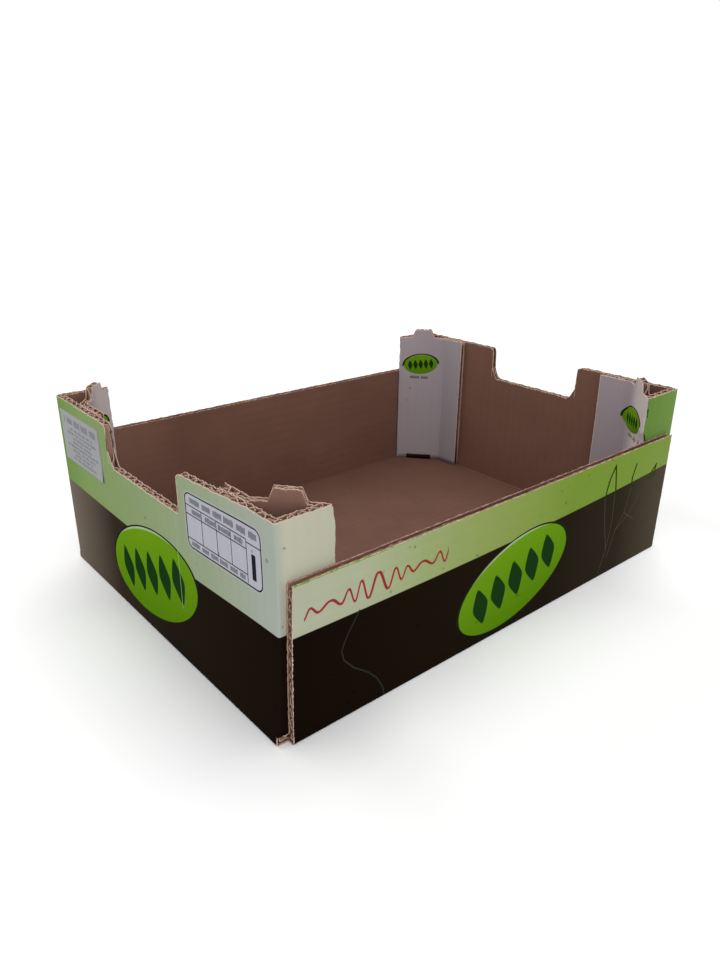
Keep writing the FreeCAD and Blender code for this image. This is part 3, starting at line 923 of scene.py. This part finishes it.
# One layer of an end strip: the plan path at the layer's depth, carried up from foot to top
def stripGrid(layerName, flared, spacing, levels, seed):
    layer = layers[layerName]
    points, normal, along, run = foldedPath(plan, planRadii, stripStations(spacing), layer["depth"])
    u = wallMiddle - along
    if layerName == "fluting":
        toFold = np.min(np.abs(along[:, None] - planBase[None, 1:]), axis=1)
        points = points + normal * (calm(toFold) * flute(along, 51))[:, None]
    top = stripTop(u, flared) - layer["recess"] + wander(u, layer["edge"], seed)
    top += np.where(np.abs(u) > flapFace, 0.4, 1.0) * wander(u, layer["edge"], seed + 7)
    foot = stripFoot(u) + np.where(np.abs(u) > flapFace, wander(u, 0.00015, seed + 1), 0)
    z = np.clip(levels[None, :], foot[:, None], top[:, None])
    co = np.empty(z.shape + (3,))
    co[..., 0:2] = points[:, None, :]
    co[..., 2] = z
    cut = top[:, None] - z
    panelEnd = np.minimum(along, planBase[-1] + planLength[-1] - along)
    cut = np.minimum(cut, panelEnd[:, None])
    for side, post in ((1, tray["broadPost"]), (-1, tray["slimPost"])):
        d = side * u - (flapFace - post)
        near = (d >= -2 * same) & (d < 0.02)
        high = z > tray["lowTop"]
        cut = np.where(near[:, None] & high, np.minimum(cut, np.abs(d)[:, None]), cut)
        fade = np.where(near, 1 - ease(d, 0, 0.004), 0)[:, None] * ease(z, 0.112, 0.118)
        shift = wander(z, 0.0003, seed + 2 + side) - layer["recess"] * 1.3
        co[..., 1] += side * fade * shift
    frayEnd = 1 - ease(panelEnd, 0, 0.004)
    ends = np.where(along < wallMiddle, 1.0, -1.0)
    co[..., 1] += (frayEnd * ends)[:, None] * -wander(z, 0.0003, seed + 5)
    out = np.insert(normal * layer["way"], 2, 0, axis=1)[:, None]
    uv = np.stack(np.broadcast_arrays(u[:, None], z), -1)
    return newGrid(co, uv, cut, out), points[np.isclose(run, 3)][:, 1]


# One layer of the fold from the bottom up to the end wall: a profile in x and z, carried along y
def skirtGrid(layerName, wallY, seed):
    layer = layers[layerName]
    profile = [(-longReach, 0), (-halfLength, 0), (-halfLength, flapFoot)]
    stations = [np.array([0.002, 0.004]), np.array([])]
    points, normal, along, _ = foldedPath(profile, [sheet["foldRadius"]], stations, layer["depth"])
    y = np.unique(np.concatenate([[-flapFace], wallY, [flapFace]]))
    co = np.empty((len(y), len(along), 3))
    wave = 0
    if layerName == "fluting":
        wave = (calm(flapFace - np.abs(y)) * flute(wallMiddle + y, 51))[:, None]
    co[..., 0] = points[None, :, 0] + wave * normal[None, :, 0]
    co[..., 2] = points[None, :, 1] + wave * normal[None, :, 1]
    edge = (np.abs(y) > flapFace - 1e-6) * np.sign(y)
    ragged = wander(along, layer["edge"], seed) - layer["recess"]
    co[..., 1] = y[:, None] + edge[:, None] * ragged[None, :]
    out = np.insert(normal * layer["way"], 1, 0, axis=1)
    uv = np.stack(np.broadcast_arrays(-y[:, None], along[None, :] - tray["longInset"]), -1)
    return newGrid(co, uv, (flapFace - np.abs(y))[:, None], out)


# Half turn about the upright axis, for the far end and the far side
def halfTurned(grid):
    back = np.array([-1.0, -1.0, 1.0])
    return {**grid, "co": grid["co"] * back, "out": grid["out"] * back}


endDetail = {
    "spacing": sheet["pitch"] / 8,
    "waveSpacing": sheet["pitch"] / 12,
    "levels": np.array([
        *np.linspace(flapFoot, 0.104, 20), 0.107, 0.109, 0.110, 0.1115, 0.113, 0.116, 0.119, 0.122, 0.126,
        0.130, 0.134, 0.136, 0.138, 0.139, 0.140, 0.142, 0.145, 0.1475, 0.149]),
    "waveLevels": np.array([
        flapFoot, 0.04, 0.08, 0.106, 0.110, 0.113, 0.122, 0.134, 0.1395, 0.145, 0.149]),
}


def endGrids(layerName, far, seed):
    fine = layerName == "fluting"
    spacing = endDetail["waveSpacing" if fine else "spacing"]
    levels = endDetail["waveLevels" if fine else "levels"]
    strip, wallY = stripGrid(layerName, far, spacing, levels, seed)
    return [strip, skirtGrid(layerName, wallY, seed + 3)]


# One layer of a long wall at -Y: a profile in y and z, carried along x
def longGrid(layerName, seed):
    layer = layers[layerName]
    fine = layerName == "fluting"
    profile = [(-flapFace, 0), (-halfWidth, 0), (-halfWidth, tray["longTop"])]
    upright = np.arange(0.0, tray["longTop"], sheet["pitch"] / 12 if fine else 0.0021)
    stations = [np.array([0.0015, 0.003]), upright]
    points, normal, along, _ = foldedPath(profile, [sheet["foldRadius"]], stations, layer["depth"])
    wave = np.zeros(len(along))
    if fine:
        wave = calm(np.abs(along - (halfWidth - flapFace))) * flute(along, seed + 4)
    x = np.linspace(-longReach, longReach, 97 if fine else 193)
    close = np.array([0.0006, 0.0014, 0.0026])
    x = np.unique(np.concatenate([x, -longReach + close, longReach - close]))
    height = points[:, 1] + wave * normal[:, 1]
    z = np.broadcast_to(height[None, :], (len(x), len(along))).copy()
    topEdge = ease(z, tray["longTop"] - 0.004, tray["longTop"])
    z += topEdge * (wander(x, layer["edge"], seed) - layer["recess"] * 1.5)[:, None]
    endEdge = 1 - ease(longReach - np.abs(x), 0, 0.002)
    shift = wander(along, layer["edge"], seed + 1)[None, :] * endEdge[:, None]
    co = np.empty(z.shape + (3,))
    co[..., 0] = x[:, None] - np.sign(x)[:, None] * (layer["recess"] * endEdge[:, None] + np.abs(shift))
    co[..., 1] = (points[:, 0] + wave * normal[:, 0])[None, :]
    co[..., 2] = z
    out = np.insert(normal * layer["way"], 0, 0, axis=1)
    uv = np.stack(np.broadcast_arrays(x[:, None], along - (halfWidth - flapFace)), -1)
    return newGrid(co, uv, np.minimum((longReach - np.abs(x))[:, None], tray["longTop"] - z), out)


def longGrids(layerName, _, seed):      # both long walls are alike
    return [longGrid(layerName, seed)]


# The three layers of a wall at one side: printed facing, wave and brown facing
def makeWall(name, side, number, build, printed, brown, rim):
    for layerName, front, back in (
            ("outer", printed, brown), ("fluting", "fluting", "fluting"), ("inner", brown, brown)):
        far, fine = side == "far", layerName == "fluting"
        grids = build(layerName, far, number * 100 + 10 * list(layers).index(layerName))
        materials = [paint[front], paint[back], paint[rim]]
        grids = [halfTurned(grid) if far else grid for grid in grids]
        piece = gridMesh(f"{name}_{side}_{layerName}", grids, materials)
        thicken(piece, sheet["fluting" if fine else "facing"], 0 if fine else -1)


makeWall("end", "near", 1, endGrids, "end", "kraftUp", "raw")
makeWall("end", "far", 2, endGrids, "end", "kraftUp", "raw")
makeWall("long", "near", 3, longGrids, "long", "kraftFlat", "rawShadedCopy")
makeWall("long", "far", 4, longGrids, "long", "kraftFlat", "rawShadedCopy")
print("walls made")


# Bottom panel: plain tiles, and round each slot a patch between the slot's outline and a square.
# The outline is a rounded box, gone round by its length in four quarters.
bottom = {
    "patchX": 0.034, "patchY": 0.036, "parts": 24, "rings": np.array([0, 0.06, 0.2, 0.45, 0.72, 1.0]),
    "slotRound": 0.001,
    "farFromCut": 0.02,          # what "cut" says where no edge is near
}


def slotOutline(grow=0.0):
    long, wide, r = tray["slotLength"] / 2 + grow, tray["slotWidth"] / 2 + grow, bottom["slotRound"]
    angle = np.linspace(math.pi / 2, 0, 6)
    quarter = np.concatenate([[[0, wide]], np.column_stack([
        long - r + r * np.cos(angle), wide - r + r * np.sin(angle)]), [[long, 0]]])
    s = np.concatenate([[0], np.cumsum(np.linalg.norm(np.diff(quarter, axis=0), axis=1))])
    even = np.linspace(0, s[-1], bottom["parts"] + 1)
    q = np.column_stack([np.interp(even, s, quarter[:, 0]), np.interp(even, s, quarter[:, 1])])
    loop = np.concatenate([q, (q * [1, -1])[::-1][1:], (q * [-1, -1])[1:], (q * [-1, 1])[::-1][1:]])
    fold = np.array([tray["flap"], 0.0])
    ahead = np.array([panelFace - tray["flap"], tray["reach"]])
    ahead /= np.linalg.norm(ahead)
    aside = np.array([-ahead[1], ahead[0]])
    centre = fold + ahead * tray["tabCentre"] + aside * sheet["board"] / 2
    return centre - loop[:, :1] * ahead - loop[:, 1:] * aside


def patchGrid(sideX, sideY, depth, way):
    hole = slotOutline()
    left, right = tray["longInset"], tray["longInset"] + bottom["patchX"]
    low, high = 0.0, bottom["patchY"]
    t = np.linspace(0, 1, bottom["parts"] + 1)
    corners = np.array([(left, low), (right, low), (right, high), (left, high), (left, low)])
    square = np.concatenate([corners[k] + (corners[k + 1] - corners[k]) * t[:-1, None] for k in range(4)])
    square = np.concatenate([square, square[:1]])
    part = bottom["rings"][None, :, None]
    flat = hole[:, None, :] * (1 - part) + square[:, None, :] * part
    co = np.empty(flat.shape[:2] + (3,))
    co[..., 0] = sideX * (halfLength - flat[..., 0])
    co[..., 1] = sideY * (flapFace - flat[..., 1])
    co[..., 2] = depth
    return newGrid(co, co[..., 0:2], np.linspace(0, 0.012, len(bottom["rings"])), (0, 0, way))


def tileGrid(x, y, depth, way):
    co = np.empty((len(x), len(y), 3))
    co[..., 0], co[..., 1], co[..., 2] = x[:, None], y[None, :], depth
    return newGrid(co, co[..., 0:2], bottom["farFromCut"], (0, 0, way))


def makeBottom():
    n = bottom["parts"]
    outerX, innerX = longReach, longReach - bottom["patchX"]
    outerY, innerY = flapFace, flapFace - bottom["patchY"]
    sideX = np.linspace(innerX, outerX, n + 1)
    sideY = np.linspace(innerY, outerY, n + 1)
    middleY = np.linspace(-innerY, innerY, 49)
    allY = np.concatenate([-sideY[::-1], middleY[1:-1], sideY])
    middleX = np.linspace(-innerX, innerX, 65)
    for name, depth, way, materials in (
            ("bottom_outer", 0.0, -1.0, [paint["white"], paint["kraftFlat"], paint["raw"]]),
            ("bottom_inner", sheet["board"], 1.0, [paint["kraftFlat"], paint["kraftFlat"], paint["raw"]])):
        grids = [tileGrid(middleX, allY, depth, way), tileGrid(sideX, middleY, depth, way),
                 tileGrid(-sideX[::-1], middleY, depth, way)]
        grids += [patchGrid(a, b, depth, way) for a in (-1, 1) for b in (-1, 1)]
        thicken(gridMesh(name, grids, materials), sheet["facing"], -1)
    outline = slotOutline(0.0005)
    heights = np.linspace(sheet["facing"], sheet["board"] - sheet["facing"], 4)
    walls = []
    length = np.concatenate([[0], np.cumsum(np.linalg.norm(np.diff(outline, axis=0), axis=1))])
    for a in (-1, 1):
        for b in (-1, 1):
            co = np.empty((len(outline), len(heights), 3))
            co[..., 0] = a * (halfLength - outline[:, 0])[:, None]
            co[..., 1] = b * (flapFace - outline[:, 1])[:, None]
            co[..., 2] = heights[None, :]
            middle = co.mean(axis=(0, 1))
            uv = np.stack(np.broadcast_arrays(length[:, None], heights[None, :]), -1)
            walls.append(newGrid(co, uv, bottom["farFromCut"], middle - co))
    piece = gridMesh("slot_walls", walls, [paint["fluting"], paint["fluting"], paint["raw"]])
    thicken(piece, sheet["fluting"], -1)


makeBottom()
print("bottom made")


# Paper label, stuck on by hand: a thin sheet that follows the wall, its lower corner lifting
label = {
    "left": -labelHigh.y + 0.0003, "right": -labelLow.y - 0.0003, "low": 0.0918, "high": 0.1317,
    "turn": 0.6, "thick": 0.00012, "gap": 0.00006, "lift": 0.0007, "liftReach": 0.014,
    "paper": ((134, 135, 136), (147, 148, 149)),
    "print": [(6, 3.0, 1, 7.6, 2.4, (66, 70, 84), 0.0), (8, 11.2, 8, 3.3, 1.3, (78, 84, 98), 0.45)],
}


def labelPaper():
    material, tree, shader = newMaterial("label paper", {"Specular IOR Level": 0.3})
    at, u, _ = panelPlace(tree)
    colour = blendInk(tree, noise(tree, objectAt(tree), 60.0), *(ink(*tone) for tone in label["paper"]))
    left, right, high = label["left"] * 1000, label["right"] * 1000, label["high"] * 1000
    for inset, drop, rows, spacing, cell, mark, ragged in label["print"]:
        colour = addSmallPrint(
            tree, colour, at, left + inset, right - 6, high - drop, rows, spacing, cell, mark, ragged)
    finishPaper(tree, shader, colour, u, {**coated, "fray": 0.0, "tone": 0.05})
    return material


def makeLabel():
    u = np.linspace(label["left"], label["right"], 40)
    v = np.linspace(label["low"], label["high"], 24)
    across, up = np.meshgrid(u, v, indexing="ij")
    turn = math.radians(label["turn"])
    middleU, middleV = (label["left"] + label["right"]) / 2, (label["low"] + label["high"]) / 2
    du, dv = across - middleU, up - middleV
    y = -(middleU + du * math.cos(turn) - dv * math.sin(turn))
    z = middleV + du * math.sin(turn) + dv * math.cos(turn)
    corner = np.hypot(across - label["right"], up - label["low"])
    lift = label["lift"] * (1 - ease(corner, 0, label["liftReach"]))
    co = np.stack([-halfLength - label["thick"] - label["gap"] - lift, y, z], -1)
    grid = newGrid(co, np.stack([across, up], -1), bottom["farFromCut"], (-1, 0, 0))
    piece = gridMesh("label_sheet", [grid], [labelPaper()])
    paper = piece.modifiers.new("paper", "SOLIDIFY")
    paper.thickness = label["thick"]
    paper.offset = -1
    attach(piece, "root")
    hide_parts("paper_label")


makeLabel()


# Hot-melt glue between the layers, amber and slightly cloudy
def hotMelt():
    looks = {"IOR": 1.48, "Coat Weight": 0.3, "Coat Roughness": 0.2}
    material, tree, shader = newMaterial("hot melt", looks)
    clouds = noise(tree, objectAt(tree), 260.0, 3.0)
    amber = blendInk(tree, clouds, ink(214, 196, 150), ink(232, 220, 186))
    tree.links.new(amber, shader.inputs["Base Color"])
    tree.links.new(linear(tree, clouds, 0.3, 0.2), shader.inputs["Roughness"])
    addBump(tree, shader, clouds, 0.0003, 0.6)
    return material


melt = hotMelt()
for node in ("flap_glue", "column_glue"):
    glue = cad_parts[node]
    glue.data.materials.clear()
    glue.data.materials.append(melt)
print("label and glue made")


# Camera at the photograph's place
camera = {
    "at": (-0.37953, -0.42563, 0.30201), "forward": (0.59735, 0.70084, -0.38986),
    "right": (0.76388, -0.64528, 0.01043), "lens": 27.689,
}


def addCamera():
    data = bpy.data.cameras.new("camera")
    data.lens = camera["lens"]
    data.clip_start = 0.01
    back = -Vector(camera["forward"]).normalized()
    right = Vector(camera["right"]).normalized()
    up = back.cross(right)
    turn = Matrix((right, up, back)).transposed().to_4x4()
    seen = bpy.data.objects.new("camera", data)
    seen.matrix_world = Matrix.Translation(camera["at"]) @ turn
    bpy.context.scene.collection.objects.link(seen)
    bpy.context.scene.camera = seen


# White studio: the world and floor look white to the camera and in reflections. Each patch is a
# soft box of painted light in the floor's glow, seen by the camera (centre, half size, reach, amount):
# a painted shadow beside the near end, where less light comes in, and painted light along the near side
# and past its far corner
studio = {
    "sky": 0.88,
    "fill": 0.195,
    "fade": (0.55, 1.6, 0.5),               # from, to (metres) and how much whiter
    "patches": [((-0.185, -0.0275), (0.015, 0.0875), 0.08, -0.18),
                ((0.03, -0.21), (0.15, 0.015), 0.045, 0.08), ((0.19, -0.165), (0.01, 0.01), 0.075, 0.17)],
    "lamps": [("window", 8.0, 1.6, (-0.4, 1.2, 1.3)), ("front window", 9.0, 1.8, (-0.7, -1.5, 1.2))],
    "aim": (0, 0, 0.05),
    "floor": 12.0,                          # half its width
    "drop": 0.0003,                         # of the floor under the tray
}


# 1 for rays that the camera sends, and that a reflection or clear thing sends on
def seenRays(tree):
    rays = addNode(tree, "ShaderNodeLightPath").outputs
    onward = maths(tree, "MAXIMUM", rays["Is Glossy Ray"], rays["Is Transmission Ray"])
    return maths(tree, "MAXIMUM", rays["Is Camera Ray"], onward)


def floorPaint():
    material, tree, shader = newMaterial("studio floor", {
        "Roughness": 0.9, "Specular IOR Level": 0.0, "Emission Color": (1, 1, 1, 1)})
    at = objectAt(tree)
    white = blendInk(tree, noise(tree, at, 3.0), (0.80, 0.80, 0.80, 1), (0.82, 0.82, 0.82, 1))
    tree.links.new(white, shader.inputs["Base Color"])
    start, end, gain = studio["fade"]
    far = over(tree, vectors(tree, "LENGTH", at), start, 1 / (end - start))
    glow = linear(tree, far, gain, studio["fill"])
    # Painted shadow and painted light on the floor, in the glow that the camera sees
    for centre, half, reach, amount in studio["patches"]:
        away = place(tree, shapes["box"], At=at, Centre=(*centre, 0), Half=(*half, 1))["Distance"]
        glow = linear(tree, under(tree, away, reach, 1 / reach), amount, glow)
    tree.links.new(times(tree, seenRays(tree), glow), shader.inputs["Emission Strength"])
    return material


def addStudio():
    scene = bpy.context.scene
    world = bpy.data.worlds.new("white studio")
    scene.world = world
    world.use_nodes = True
    tree = world.node_tree
    strength = linear(tree, seenRays(tree), 1 - studio["sky"], studio["sky"])
    setInputs(tree, tree.nodes["Background"], {"Color": (1, 1, 1, 1), "Strength": strength})

    mesh = bpy.data.meshes.new("floor")
    w = studio["floor"]
    mesh.from_pydata([(-w, -w, 0), (w, -w, 0), (w, w, 0), (-w, w, 0)], [], [(0, 1, 2, 3)])
    mesh.materials.append(floorPaint())
    floor = bpy.data.objects.new("floor", mesh)
    floor.location.z = -studio["drop"]
    scene.collection.objects.link(floor)

    for name, power, width, at in studio["lamps"]:
        lamp = bpy.data.lights.new(name, "AREA")
        lamp.energy = power
        lamp.size = width
        window = bpy.data.objects.new(name, lamp)
        window.location = at
        window.rotation_mode = "QUATERNION"
        window.rotation_quaternion = (Vector(at) - Vector(studio["aim"])).to_track_quat("Z", "Y")
        scene.collection.objects.link(window)

    scene.view_settings.view_transform = "Standard"


addCamera()
addStudio()
print("camera and studio ready")
